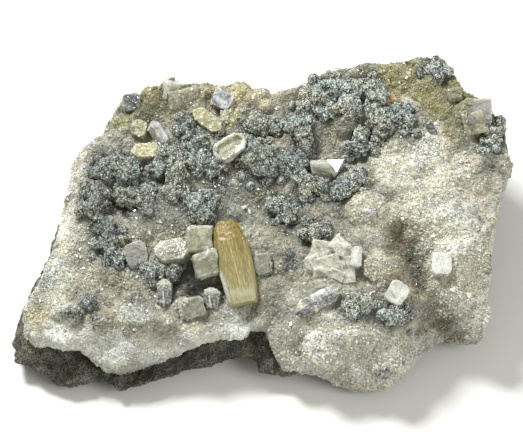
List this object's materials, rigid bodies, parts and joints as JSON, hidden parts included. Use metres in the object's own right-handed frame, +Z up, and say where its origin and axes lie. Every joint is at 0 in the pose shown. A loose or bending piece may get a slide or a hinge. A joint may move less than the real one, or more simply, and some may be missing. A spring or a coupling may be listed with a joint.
{
  "type": "mineral specimen",
  "caption": "Hand-sized basalt plate crusted with drusy quartz, with a honey-coloured heulandite crystal among pale blocks, blades and grey knobs.",
  "frame": {"origin": "at the foot, under the middle of the bounding box", "axes": "+X to the specimen's right along its length, +Y to its back, +Z up through its thickness"},
  "size_m": [0.1114, 0.0704, 0.0329],
  "materials": {
    "basalt": "rough broken rock",
    "drusy_quartz": "sparkling druse",
    "heulandite": "pearly, striated",
    "pale_crystal": "glassy",
    "clear_crystal": "glassy",
    "coated_crystal": "dull, coated",
    "honey_druse": "sugary",
    "grey_knob": "dull, grainy"
  },
  "bodies": {
    "root": {"basalt_matrix": "basalt", "quartz_crust": "drusy_quartz", "heulandite": "heulandite", "pale_block_group": "pale_crystal", "dish_tablet": "pale_crystal", "cream_blade_cluster": "pale_crystal", "clear_wedge": "clear_crystal", "white_upright_blade": "clear_crystal", "white_leaning_blade": "clear_crystal", "white_block": "clear_crystal", "grey_tooth": "clear_crystal", "grey_corner_block": "clear_crystal", "bluish_block": "clear_crystal", "square_corner_crystal": "clear_crystal", "side_block": "clear_crystal", "west_block": "clear_crystal", "front_block": "clear_crystal", "coated_long_crystal": "coated_crystal", "coated_stub_west": "coated_crystal", "coated_stub_middle": "coated_crystal", "dark_eye_crystal": "coated_crystal", "dark_eye_crystal_back": "coated_crystal", "honey_tablet_round": "honey_druse", "honey_tablet_long": "honey_druse", "cream_cap": "honey_druse", "cream_stub": "honey_druse", "grey_knobs_01": "grey_knob", "grey_knobs_02": "grey_knob", "grey_knobs_03": "grey_knob", "grey_knobs_04": "grey_knob", "grey_knobs_05": "grey_knob", "grey_knobs_06": "grey_knob", "grey_knobs_07": "grey_knob", "grey_knobs_08": "grey_knob", "grey_knobs_09": "grey_knob", "grey_knobs_10": "grey_knob", "grey_knobs_11": "grey_knob", "grey_knobs_12": "grey_knob", "grey_knobs_13": "grey_knob", "grey_knobs_14": "grey_knob", "grey_knobs_15": "grey_knob", "grey_knobs_16": "grey_knob", "grey_knobs_17": "grey_knob", "grey_knobs_18": "grey_knob", "grey_knobs_19": "grey_knob", "grey_knobs_20": "grey_knob", "grey_knobs_21": "grey_knob", "grey_knobs_22": "grey_knob", "grey_knobs_23": "grey_knob", "grey_knobs_24": "grey_knob", "grey_knobs_25": "grey_knob", "grey_knobs_26": "grey_knob"}
  },
  "joints": []
}
